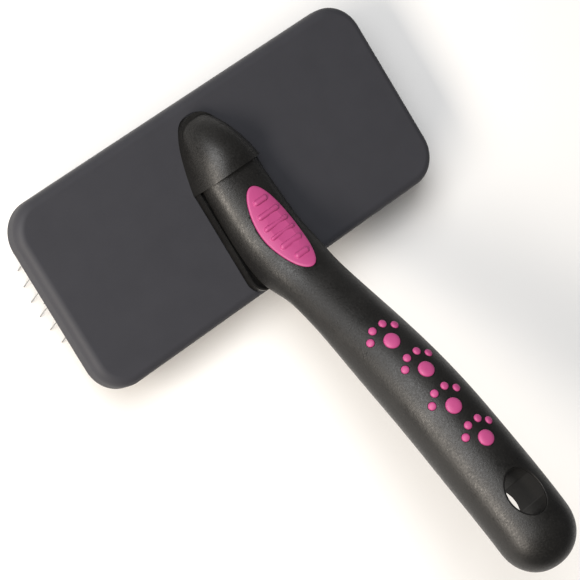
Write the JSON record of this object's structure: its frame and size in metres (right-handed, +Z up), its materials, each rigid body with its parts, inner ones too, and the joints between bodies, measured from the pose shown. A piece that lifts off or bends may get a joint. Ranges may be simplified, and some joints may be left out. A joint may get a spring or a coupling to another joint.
{
  "type": "slicker brush",
  "caption": "Pet slicker brush: wide rounded pan of fine bent steel pins in a cushioned bed, on an arched soft-grip handle with ribbed thumb rest, paw-print inlays and hanging hole.",
  "frame": {"origin": "middle of the bounding box's base, in the plane of the pin tips", "axes": "+X across the width of the head, +Y from the handle towards the nose of the hood, +Z up, away from the pins"},
  "size_m": [0.114, 0.139, 0.0681],
  "materials": {
    "shell": "satin",
    "soft": "satin",
    "core": "satin",
    "pink": "satin",
    "steel": "satin",
    "foundation": "matte",
    "foam": "matte"
  },
  "bodies": {
    "brush": {"head_shell": "shell", "handle_saddle": "soft", "handle_core": "core", "handle_grip": "soft", "hang_hole_lining": "core", "thumb_rest": "pink", "paw_1_pad": "pink", "paw_1_toe_1": "pink", "paw_1_toe_2": "pink", "paw_1_toe_3": "pink", "paw_1_toe_4": "pink", "paw_2_pad": "pink", "paw_2_toe_1": "pink", "paw_2_toe_2": "pink", "paw_2_toe_3": "pink", "paw_2_toe_4": "pink", "paw_3_pad": "pink", "paw_3_toe_1": "pink", "paw_3_toe_2": "pink", "paw_3_toe_3": "pink", "paw_3_toe_4": "pink", "paw_4_pad": "pink", "paw_4_toe_1": "pink", "paw_4_toe_2": "pink", "paw_4_toe_3": "pink", "paw_4_toe_4": "pink", "saddle_screw_left": "steel", "saddle_screw_right": "steel"},
    "pin_bed": {"bed_cushion": "foam", "bed_foundation": "foundation", "pin_row_01": "steel", "pin_row_02": "steel", "pin_row_03": "steel", "pin_row_04": "steel", "pin_row_05": "steel", "pin_row_06": "steel", "pin_row_07": "steel", "pin_row_08": "steel", "pin_row_09": "steel", "pin_row_10": "steel", "pin_row_11": "steel"}
  },
  "joints": [
    {"name": "pin_bed_press", "type": "slide", "parent": "brush", "child": "pin_bed", "axis": [0, 0, 1], "range_m": [0, 0.0012], "stiffness_N_per_m": 3500}
  ]
}
